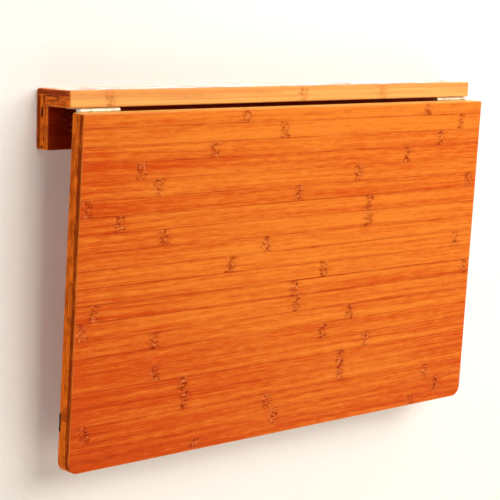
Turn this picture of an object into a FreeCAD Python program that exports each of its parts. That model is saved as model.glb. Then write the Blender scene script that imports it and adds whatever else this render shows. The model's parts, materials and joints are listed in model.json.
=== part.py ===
import FreeCAD, Part
import math
import os

Vector = FreeCAD.Vector

# Wall-mounted drop-leaf table, in millimetres.
# X runs along the wall, +Y into the wall and +Z up. The wall is the plane y = 0, and z = 0 is the
# level of the ledge's underside, which is the leaf's underside too once it is raised.
# "depth" below is a distance from the wall, so it is minus y.

# ---- boards ---------------------------------------------------------------
table_width = 600.0
board_thickness = 17.0          # ledge, rail and uprights are cut from one board stock
board_plies = 3                 # layers of strips that each board is pressed from
leaf_thickness = 17.0
ledge_depth = 50.0              # wall to the ledge's front edge
rail_drop = 42.0                # rail below the ledge's underside
leaf_length = 349.0             # hinge edge to free edge
leaf_corner_radius = 12.0       # plan radius of the two free corners
back_corner_radius = 3.0        # corner of ledge and rail along the wall
arris_radius = 1.5              # every other outer edge of the boards

# ---- corner joint of ledge and rail ---------------------------------------
tongue_plies = 2                # layers of the rail that rise behind the ledge as a tongue
lip_plies = 1                   # layers of the ledge that cover the tongue
rail_dowel_radius = 3.0
rail_dowel_length = 30.0
rail_dowel_recess = 0.5         # dowel's end below the rail's back face
rail_dowel_count = 6
rail_dowel_end_distance = 40.0

# ---- uprights under the rail ----------------------------------------------
upright_width = 45.0
upright_length = 298.0
upright_inset = 60.0            # table end to the upright's outer edge
upright_dowel_radius = 4.0
upright_dowel_length = 40.0
upright_dowel_spacing = 24.0
dowel_end_gap = 0.5             # glue room at each end of a dowel's hole
dowel_bevel = 0.8

# ---- holes for the wall screws --------------------------------------------
wall_hole_radius = 2.4
wall_hole_sink_radius = 4.8
wall_hole_sink_depth = 2.6
rail_hole_height = -21.0
rail_hole_end_distance = 30.0   # rail's end to its outer hole
rail_hole_share = 1 / 3         # inner hole's place, as a share of the outer one's
upright_hole_foot_distance = 55.0

# ---- butt hinges ----------------------------------------------------------
hinge_length = 50.0
hinge_end_distance = 10.0       # table end to the hinge's end
hinge_plate_reach = 19.0        # pin axis to the plate's far edge
hinge_plate_thickness = 1.2
hinge_pin_radius = 1.6
centre_knuckle_length = 26.0
knuckle_end_gap = 0.3
knuckle_slit = 0.25             # open seam where the rolled plate meets itself
hinge_joint = 1.0               # gap between the ledge and the raised leaf
hinge_pin_head_radius = 2.3
hinge_pin_head_height = 0.8
hinge_screw_spacing = 16.0
hinge_screw_reach = 11.5        # pin axis to the row of screws
hinge_screw_stagger = 2.5
hinge_screw_count = 3
hinge_corner_radius = 3.0

# ---- how the leaf hangs ---------------------------------------------------
leaf_lean = 2.5                 # degrees that the hanging leaf leans in at its foot

# ---- swing-up prop frame --------------------------------------------------
prop_rod_radius = 5.0
prop_length = 212.0             # pivot axis to the crossbar's axis
prop_bend_radius = 22.0
prop_pivot_drop = 120.0         # pivot axis below the ledge's underside
prop_pivot_depth = 10.0         # pivot axis from the wall
prop_eye_radius = 7.0
prop_eye_thickness = 6.0
prop_eye_neck = 11.0            # pivot axis to the end of the flat
prop_taper_length = 16.0        # round rod into flat eye
sleeve_radius = 7.0
sleeve_length = 44.0
sleeve_bend_distance = 6.0      # end of the crossbar's bend to the sleeve

# ---- pivot bolts of the prop frame ----------------------------------------
bolt_shoulder_radius = 3.0
bolt_thread_radius = 2.5
bolt_thread_length = 12.0
bolt_head_radius = 6.0
bolt_head_height = 3.5
bolt_head_round = 1.2
bolt_key_radius = 2.3           # corner radius of the hexagon socket
bolt_key_sides = 6
bolt_key_depth = 2.0
insert_radius = 4.2
insert_length = 13.0
spacer_thickness = 3.0
spacer_radius = 6.5

# ---- catch cleats on the leaf ---------------------------------------------
cleat_width = 34.0
cleat_height = 10.5
cleat_seat_thickness = 3.0      # wood between the leaf and the sleeve
cleat_ramp_angle = 30.0         # slope of the outer side of the saddle, in degrees
cleat_heel_length = 14.0        # from the saddle to the end towards the hinge
cleat_toe_length = 12.0         # from the ramp to the end towards the free edge
cleat_corner_radius = 4.0

# ---- stiffening bar let into the leaf -------------------------------------
bar_width = 18.0
bar_thickness = 3.0
bar_edge_distance = 50.0        # leaf's free edge to the bar's centre line
bar_end_inset = 0.4
bar_screw_count = 5
bar_screw_end_distance = 40.0

# ---- rubber buffers that the leaf hangs against ---------------------------
buffer_foot_distance = 18.0     # upright's foot to the buffer's centre
buffer_base_radius = 11.0
buffer_tip_radius = 8.0
buffer_dome_radius = 12.0
buffer_base_height = 3.0
buffer_bore_radius = 2.1
buffer_recess_radius = 4.6
buffer_floor = 8.0              # rubber under the screw's head

# ---- wood screws ----------------------------------------------------------
screw_shank_radius = 1.6
screw_head_radius = 3.1
screw_head_height = 1.5
screw_point_length = 2.5
hinge_screw_length = 13.0
bar_screw_length = 13.0
cleat_screw_length = 20.0
buffer_screw_radius = 2.0
buffer_screw_head_radius = 4.0
buffer_screw_head_height = 2.6
buffer_screw_crown_radius = 2.0
buffer_screw_length = 21.0

# ---- clearances -----------------------------------------------------------
running_fit = 0.05              # radial, shaft in hole
screw_fit = 0.05                # radial, screw or dowel in its hole
resting_gap = 0.3               # between pieces that rest on each other but can part
groove_fit = 0.1                # each side of the bar in its groove
cutter_margin = 1.0             # how far a cutting solid passes beyond a face
touch = 0.01                    # closer than this, two coordinates count as the same

# ---- places worked out from the sizes above -------------------------------
half_width = table_width / 2
tongue_thickness = board_thickness * tongue_plies / board_plies
lip_thickness = board_thickness * lip_plies / board_plies
tongue_top = board_thickness - lip_thickness
knuckle_radius = hinge_pin_radius + running_fit + hinge_plate_thickness
hinge_axis = Vector(0, -(ledge_depth + hinge_joint / 2), -knuckle_radius)
leaf_edge_y = -(ledge_depth + hinge_joint)
leaf_free_y = leaf_edge_y - leaf_length
hinge_centre_x = half_width - hinge_end_distance - hinge_length / 2
upright_centre_x = half_width - upright_inset - upright_width / 2
upright_inner_x = upright_centre_x - upright_width / 2
upright_foot = -(rail_drop + upright_length)
upright_hole_z = upright_foot + upright_hole_foot_distance
rail_outer_hole_x = half_width - rail_hole_end_distance
rail_inner_hole_x = rail_outer_hole_x * rail_hole_share
buffer_z = upright_foot + buffer_foot_distance
prop_leg_x = upright_inner_x - spacer_thickness - resting_gap - prop_eye_thickness / 2
sleeve_x = prop_leg_x - prop_bend_radius - sleeve_bend_distance - sleeve_length / 2
prop_pivot = Vector(0, -prop_pivot_depth, -prop_pivot_drop)
crossbar_drop = cleat_seat_thickness + sleeve_radius      # raised crossbar below the leaf
prop_rise = prop_pivot_drop - crossbar_drop
prop_reach = math.sqrt(prop_length ** 2 - prop_rise ** 2)
crossbar_y = prop_pivot.y - prop_reach                    # raised crossbar
bar_centre_y = leaf_free_y + bar_edge_distance

SIDES = (("left", -1), ("right", 1))
INTO_WALL = Vector(0, 1, 0)
OUT_OF_WALL = Vector(0, -1, 0)
UP = Vector(0, 0, 1)


# ---- shared shapes --------------------------------------------------------
def block(x_low, x_high, y_low, y_high, z_low, z_high):
    """Box between the given planes."""
    return Part.makeBox(x_high - x_low, y_high - y_low, z_high - z_low, Vector(x_low, y_low, z_low))


def bar_along_x(section, x_low, x_high):
    """Straight bar with a polygon section, given as (y, z) points."""
    points = [Vector(x_low, y, z) for y, z in section]
    face = Part.Face(Part.makePolygon(points + points[:1]))
    return face.extrude(Vector(x_high - x_low, 0, 0))


def drum(centre, radius, direction, length):
    """Cylinder that starts at centre and runs along direction."""
    return Part.makeCylinder(radius, length, centre, direction)


def spread(count, low, high):
    """Evenly spaced places from low to high."""
    return [low + (high - low) * number / (count - 1) for number in range(count)]


def rounded(solid, radius, wanted):
    """Solid with a fillet on each edge that wanted picks by the edge's middle and direction."""
    edges = []
    for edge in solid.Edges:
        middle = edge.valueAt((edge.FirstParameter + edge.LastParameter) / 2)
        start, end = edge.Vertexes[0].Point, edge.Vertexes[-1].Point
        if wanted(middle, end.sub(start)):
            edges.append(edge)
    return solid.makeFillet(radius, edges)


def near(value, target):
    return abs(value - target) < touch


def group(solids):
    """Several separate solids kept as one piece of the parts list."""
    return Part.makeCompound(solids)


def cut_all(solid, cutters):
    return solid.cut(cutters)


def turned_profile(points, centre, direction):
    """Solid of revolution from (radius, distance along direction) points, closed on themselves."""
    outline = Part.makePolygon([Vector(r, 0, d) for r, d in points + points[:1]])
    solid = Part.Face(outline).revolve(Vector(0, 0, 0), UP, 360)
    solid.Placement = FreeCAD.Placement(centre, FreeCAD.Rotation(UP, direction))
    return solid


# ---- fasteners ------------------------------------------------------------
def wood_screw(head, direction, length, slack=0.0):
    """Countersunk screw from the centre of its head's face; slack grows it into its own hole."""
    shank = screw_shank_radius + slack
    rim = screw_head_radius + slack
    point = length - screw_point_length
    profile = [(0, 0), (rim, 0), (shank, screw_head_height), (shank, point + slack), (0, length + slack)]
    if slack:
        profile[0:1] = [(0, -cutter_margin), (rim, -cutter_margin)]
    return turned_profile(profile, head, direction)


def screw_holes(places, direction, length):
    return [wood_screw(place, direction, length, screw_fit) for place in places]


def screws(places, direction, length):
    return [wood_screw(place, direction, length) for place in places]


def dowel(start, direction, radius, length):
    """Plain wooden dowel with chamfered ends."""
    tip = radius - dowel_bevel
    profile = [(0, 0), (tip, 0), (radius, dowel_bevel), (radius, length - dowel_bevel),
               (tip, length), (0, length)]
    return turned_profile(profile, start, direction)


def dowel_hole(start, direction, radius, length, mouth=dowel_end_gap):
    """Hole for a dowel; mouth is the length that it is cut on before the dowel's near end."""
    return drum(start.sub(direction * mouth), radius + screw_fit, direction, mouth + length + dowel_end_gap)


# ---- where the fasteners sit ----------------------------------------------
def rail_dowel_places():
    """Outer ends of the dowels that are driven in from the back, through the tongue into the ledge."""
    end = half_width - rail_dowel_end_distance
    return [Vector(x, -rail_dowel_recess, tongue_top / 2) for x in spread(rail_dowel_count, -end, end)]


def rail_dowel_holes():
    mouth = rail_dowel_recess + cutter_margin
    return [dowel_hole(place, OUT_OF_WALL, rail_dowel_radius, rail_dowel_length, mouth)
            for place in rail_dowel_places()]


def upright_dowel_places(side):
    z = -rail_drop - upright_dowel_length / 2
    centre = side * upright_centre_x
    half = upright_dowel_spacing / 2
    return [Vector(x, -board_thickness / 2, z) for x in (centre - half, centre + half)]


def hinge_screw_places(side, toward_wall):
    """Screw heads of one plate with the leaf raised; the middle one stands out of the row."""
    places = []
    for number, x in enumerate(spread(hinge_screw_count, -hinge_screw_spacing, hinge_screw_spacing)):
        reach = hinge_screw_reach + (hinge_screw_stagger if number % 2 else 0)
        y = hinge_axis.y + toward_wall * reach
        places.append(Vector(side * hinge_centre_x + x, y, -hinge_plate_thickness))
    return places


def cleat_screw_places(side):
    heel = crossbar_y + sleeve_radius + resting_gap + cleat_heel_length / 2
    toe = crossbar_y - cleat_ramp_end() - cleat_toe_length / 2
    return [Vector(side * sleeve_x, y, -cleat_height) for y in (heel, toe)]


def bar_screw_places():
    end = half_width - bar_screw_end_distance
    return [Vector(x, bar_centre_y, 0) for x in spread(bar_screw_count, -end, end)]


def wall_hole(x, z):
    """Hole for a wall screw through a board, countersunk from the front."""
    front = Vector(x, -board_thickness - cutter_margin, z)
    shank = drum(front, wall_hole_radius, INTO_WALL, board_thickness + 2 * cutter_margin)
    slope = (wall_hole_sink_radius - wall_hole_radius) / wall_hole_sink_depth
    mouth = wall_hole_sink_radius + slope * cutter_margin
    sink = Part.makeCone(mouth, wall_hole_radius, wall_hole_sink_depth + cutter_margin, front, INTO_WALL)
    return shank.fuse(sink)


# ---- ledge and rail -------------------------------------------------------
def is_on_end(middle, run):
    return near(abs(middle.x), half_width) and near(run.x, 0)


def ledge():
    """Fixed shelf board, rebated at the back so that its top layer covers the rail's tongue."""
    top = board_thickness
    section = [(0, top), (-ledge_depth, top), (-ledge_depth, 0), (-tongue_thickness, 0),
               (-tongue_thickness, tongue_top), (0, tongue_top)]
    board = bar_along_x(section, -half_width, half_width)
    board = rounded(board, back_corner_radius, lambda m, run: near(m.y, 0) and near(m.z, top))

    def outer_edge(m, run):
        front = near(m.y, -ledge_depth)
        skin = front or m.z > tongue_top + touch or (near(m.z, 0) and m.y < -tongue_thickness)
        return skin and (is_on_end(m, run) or (front and near(run.y, 0)))

    board = rounded(board, arris_radius, outer_edge)
    holes = rail_dowel_holes()
    for name, side in SIDES:
        holes += screw_holes(hinge_screw_places(side, 1), UP, hinge_screw_length)
    return cut_all(board, holes)


def back_rail():
    """Wall board under the ledge, with a tongue that rises behind the ledge's lower layers."""
    section = [(0, -rail_drop), (0, tongue_top), (-tongue_thickness, tongue_top),
               (-tongue_thickness, 0), (-board_thickness, 0), (-board_thickness, -rail_drop)]
    board = bar_along_x(section, -half_width, half_width)
    board = rounded(board, back_corner_radius, lambda m, run: near(m.y, 0) and near(m.z, -rail_drop))

    def outer_edge(m, run):
        foot = m.z < -rail_drop + back_corner_radius
        outer = near(m.y, 0) or near(m.y, -board_thickness) or foot
        return is_on_end(m, run) and outer and m.z < tongue_top

    board = rounded(board, arris_radius, outer_edge)
    holes = rail_dowel_holes()
    for name, side in SIDES:
        for place in upright_dowel_places(side):
            holes.append(dowel_hole(place, UP, upright_dowel_radius, upright_dowel_length))
        holes.append(wall_hole(side * rail_outer_hole_x, rail_hole_height))
        holes.append(wall_hole(side * rail_inner_hole_x, rail_hole_height))
    return cut_all(board, holes)


def upright(side):
    """Board under the rail that carries the prop's pivot and takes the lower wall screw."""
    low = side * upright_centre_x - upright_width / 2
    board = block(low, low + upright_width, -board_thickness, 0, upright_foot, -rail_drop)

    def outer_edge(m, run):
        return m.z < -rail_drop - touch and m.y < -touch

    board = rounded(board, arris_radius, outer_edge)
    holes = [dowel_hole(place, UP, upright_dowel_radius, upright_dowel_length)
             for place in upright_dowel_places(side)]
    holes.append(wall_hole(side * upright_centre_x, upright_hole_z))
    holes.append(buffer_screw(side, screw_fit))
    holes.append(drum(pivot_place(side, 0), insert_radius + screw_fit, Vector(side, 0, 0),
                      insert_length + dowel_end_gap))
    return cut_all(board, holes)


# ---- hinges, drawn with the leaf raised -----------------------------------
def knuckle(x_low, x_high, toward_wall):
    """Rolled tube round the pin that runs into its plate along the boards' underside."""
    axis = Vector(x_low, hinge_axis.y, hinge_axis.z)
    length = x_high - x_low
    tube = drum(axis, knuckle_radius, Vector(1, 0, 0), length)
    near_y, far_y = sorted((hinge_axis.y, hinge_axis.y + toward_wall * hinge_root()))
    root = block(x_low, x_high, near_y, far_y, -hinge_plate_thickness, 0)
    slit_y = sorted((hinge_axis.y, hinge_axis.y + toward_wall * (knuckle_radius + cutter_margin)))
    slit = block(x_low, x_high, slit_y[0], slit_y[1],
                 -hinge_plate_thickness - knuckle_slit, -hinge_plate_thickness)
    bore = drum(axis, hinge_pin_radius + running_fit, Vector(1, 0, 0), length)
    return tube.fuse(root).cut([slit, bore])


def hinge_root():
    """Pin axis to the plate edge that clears the other plate's knuckles."""
    return knuckle_radius + resting_gap


def hinge_plate(side, toward_wall):
    """One plate of a butt hinge: the ledge's has the two outer knuckles, the leaf's the centre one."""
    centre = side * hinge_centre_x
    low, high = centre - hinge_length / 2, centre + hinge_length / 2
    near_y = hinge_axis.y + toward_wall * hinge_root()
    far_y = hinge_axis.y + toward_wall * hinge_plate_reach
    y_low, y_high = sorted((near_y, far_y))
    plate = block(low, high, y_low, y_high, -hinge_plate_thickness, 0)
    plate = rounded(plate, hinge_corner_radius, lambda m, run: near(m.y, far_y) and near(run.x, 0)
                    and near(run.y, 0))
    half_centre = centre_knuckle_length / 2
    if toward_wall > 0:
        spans = [(low, centre - half_centre), (centre + half_centre, high)]
    else:
        spans = [(centre - half_centre + knuckle_end_gap, centre + half_centre - knuckle_end_gap)]
    for x_low, x_high in spans:
        plate = plate.fuse(knuckle(x_low, x_high, toward_wall))
    holes = screw_holes(hinge_screw_places(side, toward_wall), UP, hinge_screw_length)
    return cut_all(plate.removeSplitter(), holes)


def hinge_pin(side):
    """Pin through all three knuckles, with a head at its outer end."""
    outer = Vector(side * (hinge_centre_x + hinge_length / 2), hinge_axis.y, hinge_axis.z)
    inward = Vector(-side, 0, 0)
    head_start = outer.add(Vector(side * hinge_pin_head_height, 0, 0))
    shaft = drum(outer, hinge_pin_radius, inward, hinge_length)
    return shaft.fuse(drum(head_start, hinge_pin_head_radius, inward, hinge_pin_head_height))


# ---- leaf, drawn raised and level with the ledge --------------------------
def hung(shape):
    """Turn a shape drawn with the leaf raised down to where it hangs at rest."""
    lowered = shape.copy()
    lowered.rotate(hinge_axis, Vector(1, 0, 0), 90 + leaf_lean)
    return lowered


def leaf_panel():
    board = block(-half_width, half_width, leaf_free_y, leaf_edge_y, 0, leaf_thickness)
    board = rounded(board, leaf_corner_radius, lambda m, run: near(m.y, leaf_free_y)
                    and near(run.x, 0) and near(run.y, 0))
    board = rounded(board, arris_radius, lambda m, run: near(m.z, 0) or near(m.z, leaf_thickness)
                    or (near(m.y, leaf_edge_y) and near(run.x, 0)))
    groove = block(-half_width - cutter_margin, half_width + cutter_margin,
                   bar_centre_y - bar_width / 2 - groove_fit, bar_centre_y + bar_width / 2 + groove_fit,
                   -cutter_margin, bar_thickness)
    holes = [groove] + screw_holes(bar_screw_places(), UP, bar_screw_length)
    for name, side in SIDES:
        holes += screw_holes(hinge_screw_places(side, -1), UP, hinge_screw_length)
        holes += screw_holes(cleat_screw_places(side), UP, cleat_screw_length)
    return cut_all(board, holes)


def stiffening_bar():
    """Flat steel bar let flush into the leaf's underside near its free edge."""
    end = half_width - bar_end_inset
    bar = block(-end, end, bar_centre_y - bar_width / 2, bar_centre_y + bar_width / 2, 0, bar_thickness)
    return cut_all(bar, screw_holes(bar_screw_places(), UP, bar_screw_length))


def cleat_ramp_end():
    """Raised crossbar's axis to where the cleat's ramp runs out at its full height."""
    angle = math.radians(cleat_ramp_angle)
    saddle = sleeve_radius + resting_gap
    start_drop = crossbar_drop - saddle * math.cos(angle)
    return saddle * math.sin(angle) + (cleat_height - start_drop) / math.tan(angle)


def catch_cleat(side):
    """Block whose saddle holds the prop's crossbar: a heel stops it, and a ramp lets it in."""
    saddle = sleeve_radius + resting_gap
    heel_y = crossbar_y + saddle + cleat_heel_length
    toe_y = crossbar_y - cleat_ramp_end() - cleat_toe_length
    centre = side * sleeve_x
    low, high = centre - cleat_width / 2, centre + cleat_width / 2
    body = block(low, high, toe_y, heel_y, -cleat_height, 0)
    body = rounded(body, cleat_corner_radius, lambda m, run: near(run.x, 0) and near(run.y, 0))
    seat = drum(Vector(low - cutter_margin, crossbar_y, -crossbar_drop), saddle, Vector(1, 0, 0),
                cleat_width + 2 * cutter_margin)
    angle = math.radians(cleat_ramp_angle)
    foot = (crossbar_y - saddle * math.sin(angle), saddle * math.cos(angle) - crossbar_drop)
    fall = cutter_margin / math.tan(angle)
    floor = -cleat_height - cutter_margin
    mouth = [(crossbar_y, -crossbar_drop), foot, (crossbar_y - cleat_ramp_end() - fall, floor),
             (crossbar_y + saddle, floor), (crossbar_y + saddle, -crossbar_drop)]
    ramp = bar_along_x(mouth, low - cutter_margin, high + cutter_margin)
    holes = screw_holes(cleat_screw_places(side), UP, cleat_screw_length)
    return cut_all(body, [seat, ramp] + holes)


# ---- prop frame, drawn as it hangs ----------------------------------------
def pivot_place(side, inward):
    """Point on the prop's pivot axis, inward from the upright's inner side."""
    return Vector(side * (upright_inner_x - inward), prop_pivot.y, prop_pivot.z)


def flat_section(side, z):
    """Rounded flat section of the eye's neck, as wide as the eye and as thick."""
    half_thick = prop_eye_thickness / 2
    half_flat = prop_eye_radius - half_thick
    x = side * prop_leg_x
    y = prop_pivot.y
    corners = [Vector(x - half_thick, y - half_flat, z), Vector(x - half_thick, y + half_flat, z),
               Vector(x + half_thick, y + half_flat, z), Vector(x + half_thick, y - half_flat, z)]
    crown_far = Vector(x, y + prop_eye_radius, z)
    crown_near = Vector(x, y - prop_eye_radius, z)
    return Part.Wire([Part.makeLine(corners[0], corners[1]),
                      Part.Arc(corners[1], crown_far, corners[2]).toShape(),
                      Part.makeLine(corners[2], corners[3]),
                      Part.Arc(corners[3], crown_near, corners[0]).toShape()])


def eye(side):
    """Flattened and drilled upper end of a leg."""
    x = side * prop_leg_x
    x_low = x - prop_eye_thickness / 2
    across = Vector(1, 0, 0)
    disc = drum(Vector(x_low, prop_pivot.y, prop_pivot.z), prop_eye_radius, across, prop_eye_thickness)
    neck_foot = prop_pivot.z - prop_eye_neck
    neck = Part.Face(flat_section(side, neck_foot)).extrude(UP * prop_eye_neck)
    rod_end = Vector(x, prop_pivot.y, neck_foot - prop_taper_length)
    round_section = Part.Wire([Part.makeCircle(prop_rod_radius, rod_end, UP)])
    taper = Part.makeLoft([round_section, flat_section(side, neck_foot)], True, True)
    bore = drum(Vector(x_low - cutter_margin, prop_pivot.y, prop_pivot.z),
                bolt_shoulder_radius + running_fit, across, prop_eye_thickness + 2 * cutter_margin)
    return disc.fuse([neck, taper]).cut(bore)


def prop_frame():
    """Bent steel rod: two legs and a crossbar, hanging plumb from the pivots."""
    y = prop_pivot.y
    top = prop_pivot.z - prop_eye_neck - prop_taper_length
    foot = prop_pivot.z - prop_length
    bend = prop_bend_radius
    short = bend * (1 - math.sqrt(0.5))
    leg, turn = prop_leg_x, prop_leg_x - bend
    left_bend = Part.Arc(Vector(-leg, y, foot + bend), Vector(-leg + short, y, foot + short),
                         Vector(-turn, y, foot))
    right_bend = Part.Arc(Vector(turn, y, foot), Vector(leg - short, y, foot + short),
                          Vector(leg, y, foot + bend))
    path = Part.Wire([Part.makeLine(Vector(-leg, y, top), Vector(-leg, y, foot + bend)),
                      left_bend.toShape(),
                      Part.makeLine(Vector(-turn, y, foot), Vector(turn, y, foot)),
                      right_bend.toShape(),
                      Part.makeLine(Vector(leg, y, foot + bend), Vector(leg, y, top))])
    section = Part.Wire([Part.makeCircle(prop_rod_radius, Vector(-leg, y, top), UP)])
    rod = path.makePipeShell([section], True, False)
    return rod.fuse([eye(-1), eye(1)]).removeSplitter()


def sleeve(side):
    """Rubber tube on the crossbar where it meets a cleat."""
    start = Vector(side * sleeve_x - sleeve_length / 2, prop_pivot.y, prop_pivot.z - prop_length)
    outer = drum(start, sleeve_radius, Vector(1, 0, 0), sleeve_length)
    return outer.cut(drum(start, prop_rod_radius + screw_fit, Vector(1, 0, 0), sleeve_length))


def bolt_head_start():
    """Upright's side to the underside of the pivot bolt's head."""
    return spacer_thickness + prop_eye_thickness + 2 * resting_gap


def pivot_bolt(side):
    """Shoulder bolt that the eye turns on, screwed into the insert in the upright's side."""
    outward = Vector(side, 0, 0)
    thread = drum(pivot_place(side, 0), bolt_thread_radius, outward, bolt_thread_length)
    shoulder = drum(pivot_place(side, bolt_head_start()), bolt_shoulder_radius, outward, bolt_head_start())
    face = pivot_place(side, bolt_head_start() + bolt_head_height)
    head = drum(face, bolt_head_radius, outward, bolt_head_height)
    head = rounded(head, bolt_head_round, lambda m, run: near(m.x, face.x))
    corners = []
    for number in range(bolt_key_sides + 1):
        angle = 2 * math.pi * number / bolt_key_sides
        corners.append(face.add(Vector(0, math.cos(angle), math.sin(angle)) * bolt_key_radius))
    key = Part.Face(Part.makePolygon(corners)).extrude(outward * bolt_key_depth)
    return head.cut(key).fuse([shoulder, thread]).removeSplitter()


def pivot_insert(side):
    """Threaded brass insert, flush with the upright's inner side."""
    outward = Vector(side, 0, 0)
    shell = drum(pivot_place(side, 0), insert_radius, outward, insert_length)
    return shell.cut(drum(pivot_place(side, 0), bolt_thread_radius + screw_fit, outward, insert_length))


def pivot_spacer(side):
    """Nylon washer that holds the eye off the upright."""
    start = pivot_place(side, spacer_thickness)
    outward = Vector(side, 0, 0)
    ring = drum(start, spacer_radius, outward, spacer_thickness)
    return ring.cut(drum(start, bolt_shoulder_radius + running_fit, outward, spacer_thickness))


# ---- buffers --------------------------------------------------------------
def buffer_height():
    """Upright's face to the tip of a dome that just clears the hanging leaf's back."""
    lean = math.radians(leaf_lean)
    below_axis = buffer_z - hinge_axis.z
    room = buffer_dome_radius + resting_gap - knuckle_radius - math.sin(lean) * below_axis
    return -hinge_axis.y - board_thickness + buffer_dome_radius - room / math.cos(lean)


def buffer_place(side):
    return Vector(side * upright_centre_x, -board_thickness, buffer_z)


def rubber_buffer(side):
    """Turned rubber foot with a domed tip and a recess for its screw."""
    dome_centre = buffer_height() - buffer_dome_radius
    rim = dome_centre + math.sqrt(buffer_dome_radius ** 2 - buffer_tip_radius ** 2)
    mouth = dome_centre + math.sqrt(buffer_dome_radius ** 2 - buffer_recess_radius ** 2)
    middle_radius = (buffer_tip_radius + buffer_recess_radius) / 2
    crown = dome_centre + math.sqrt(buffer_dome_radius ** 2 - middle_radius ** 2)
    dome = Part.Arc(Vector(buffer_tip_radius, 0, rim), Vector(middle_radius, 0, crown),
                    Vector(buffer_recess_radius, 0, mouth)).toShape()
    flank = [(buffer_bore_radius, 0), (buffer_base_radius, 0), (buffer_base_radius, buffer_base_height),
             (buffer_tip_radius, rim)]
    inside = [(buffer_recess_radius, mouth), (buffer_recess_radius, buffer_floor),
              (buffer_bore_radius, buffer_floor), (buffer_bore_radius, 0)]
    lines = [Part.makePolygon([Vector(r, 0, d) for r, d in points]) for points in (flank, inside)]
    outline = Part.Wire(lines[0].Edges + [dome] + lines[1].Edges)
    solid = Part.Face(outline).revolve(Vector(0, 0, 0), UP, 360)
    solid.Placement = FreeCAD.Placement(buffer_place(side), FreeCAD.Rotation(UP, OUT_OF_WALL))
    return solid


def buffer_screw(side, slack=0.0):
    """Round-headed screw down the buffer's recess into the upright."""
    shank = buffer_screw_radius + slack
    rim = buffer_screw_head_radius + slack
    crown = buffer_screw_crown_radius
    head = buffer_screw_head_height
    length = buffer_screw_length + slack
    profile = [(0, 0), (crown, 0), (rim, head / 2), (rim, head), (shank, head),
               (shank, head + length - screw_point_length), (0, head + length)]
    top = buffer_place(side).add(Vector(0, -(buffer_floor + head), 0))
    return turned_profile(profile, top, INTO_WALL)


# ---- parts list -----------------------------------------------------------
def all_pieces():
    pieces = {
        "ledge": ledge(),
        "back_rail": back_rail(),
        "rail_dowels": group([dowel(place, OUT_OF_WALL, rail_dowel_radius, rail_dowel_length)
                              for place in rail_dowel_places()]),
        "leaf_panel": hung(leaf_panel()),
        "stiffening_bar": hung(stiffening_bar()),
        "stiffening_bar_screws": hung(group(screws(bar_screw_places(), UP, bar_screw_length))),
        "prop_frame": prop_frame(),
    }
    for name, side in SIDES:
        pieces[name + "_upright"] = upright(side)
        pieces[name + "_upright_dowels"] = group(
            [dowel(place, UP, upright_dowel_radius, upright_dowel_length)
             for place in upright_dowel_places(side)])
        pieces[name + "_ledge_hinge_plate"] = hinge_plate(side, 1)
        pieces[name + "_leaf_hinge_plate"] = hung(hinge_plate(side, -1))
        pieces[name + "_hinge_pin"] = hinge_pin(side)
        pieces[name + "_ledge_hinge_screws"] = group(
            screws(hinge_screw_places(side, 1), UP, hinge_screw_length))
        pieces[name + "_leaf_hinge_screws"] = hung(group(
            screws(hinge_screw_places(side, -1), UP, hinge_screw_length)))
        pieces[name + "_catch_cleat"] = hung(catch_cleat(side))
        pieces[name + "_catch_cleat_screws"] = hung(group(
            screws(cleat_screw_places(side), UP, cleat_screw_length)))
        pieces[name + "_prop_sleeve"] = sleeve(side)
        pieces[name + "_pivot_bolt"] = pivot_bolt(side)
        pieces[name + "_pivot_insert"] = pivot_insert(side)
        pieces[name + "_pivot_spacer"] = pivot_spacer(side)
        pieces[name + "_buffer"] = rubber_buffer(side)
        pieces[name + "_buffer_screw"] = buffer_screw(side)
    return pieces


os.makedirs("parts", exist_ok=True)
for node, shape in all_pieces().items():
    shape.exportStep("parts/" + node + ".step")
    print(node, len(shape.Solids), "solids", round(shape.Volume), "mm3", "valid", shape.isValid())
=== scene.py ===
# %% [markdown]
# # A wall-mounted drop-leaf table in bamboo
#
# The table is a narrow ledge on a wall rail, a leaf hinged under the ledge's front edge, and a
# steel prop frame that swings up to hold the leaf level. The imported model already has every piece
# at its real size and on its own moving body, so this lesson leaves the boards where they are and
# is about what they look like: pressed bamboo strips, nickel hinges, black steel, rubber and
# screws.
#
# Everything is in metres. X runs along the wall, +Y goes into it and +Z is up.

import json
import math

import bpy
from mathutils import Matrix, Vector


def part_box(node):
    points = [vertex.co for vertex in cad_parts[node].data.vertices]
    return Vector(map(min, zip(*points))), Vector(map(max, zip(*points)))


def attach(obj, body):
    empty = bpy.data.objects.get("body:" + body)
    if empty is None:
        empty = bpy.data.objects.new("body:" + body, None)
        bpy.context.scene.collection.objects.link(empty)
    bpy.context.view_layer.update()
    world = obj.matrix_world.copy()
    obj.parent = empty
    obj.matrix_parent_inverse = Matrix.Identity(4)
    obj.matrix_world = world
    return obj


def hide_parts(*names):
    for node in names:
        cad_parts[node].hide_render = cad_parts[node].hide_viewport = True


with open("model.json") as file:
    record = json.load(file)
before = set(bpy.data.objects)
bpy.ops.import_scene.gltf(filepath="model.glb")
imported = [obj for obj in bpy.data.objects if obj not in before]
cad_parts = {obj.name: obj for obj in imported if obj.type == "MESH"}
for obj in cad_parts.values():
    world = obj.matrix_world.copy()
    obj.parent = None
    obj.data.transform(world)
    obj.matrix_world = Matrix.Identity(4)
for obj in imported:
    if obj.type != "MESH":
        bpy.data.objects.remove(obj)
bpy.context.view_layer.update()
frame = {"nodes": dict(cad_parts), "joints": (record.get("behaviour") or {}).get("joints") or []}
MM = 0.001

# %% [markdown]
# ## Helpers for node trees
#
# A material and a Geometry Nodes tree are both made of nodes and links. A few small helpers keep
# the recipes short: one fills a node's sockets with constants or other nodes' outputs, one adds a
# node, and the others do sums with numbers and vectors. They work in both kinds of tree.

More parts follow.
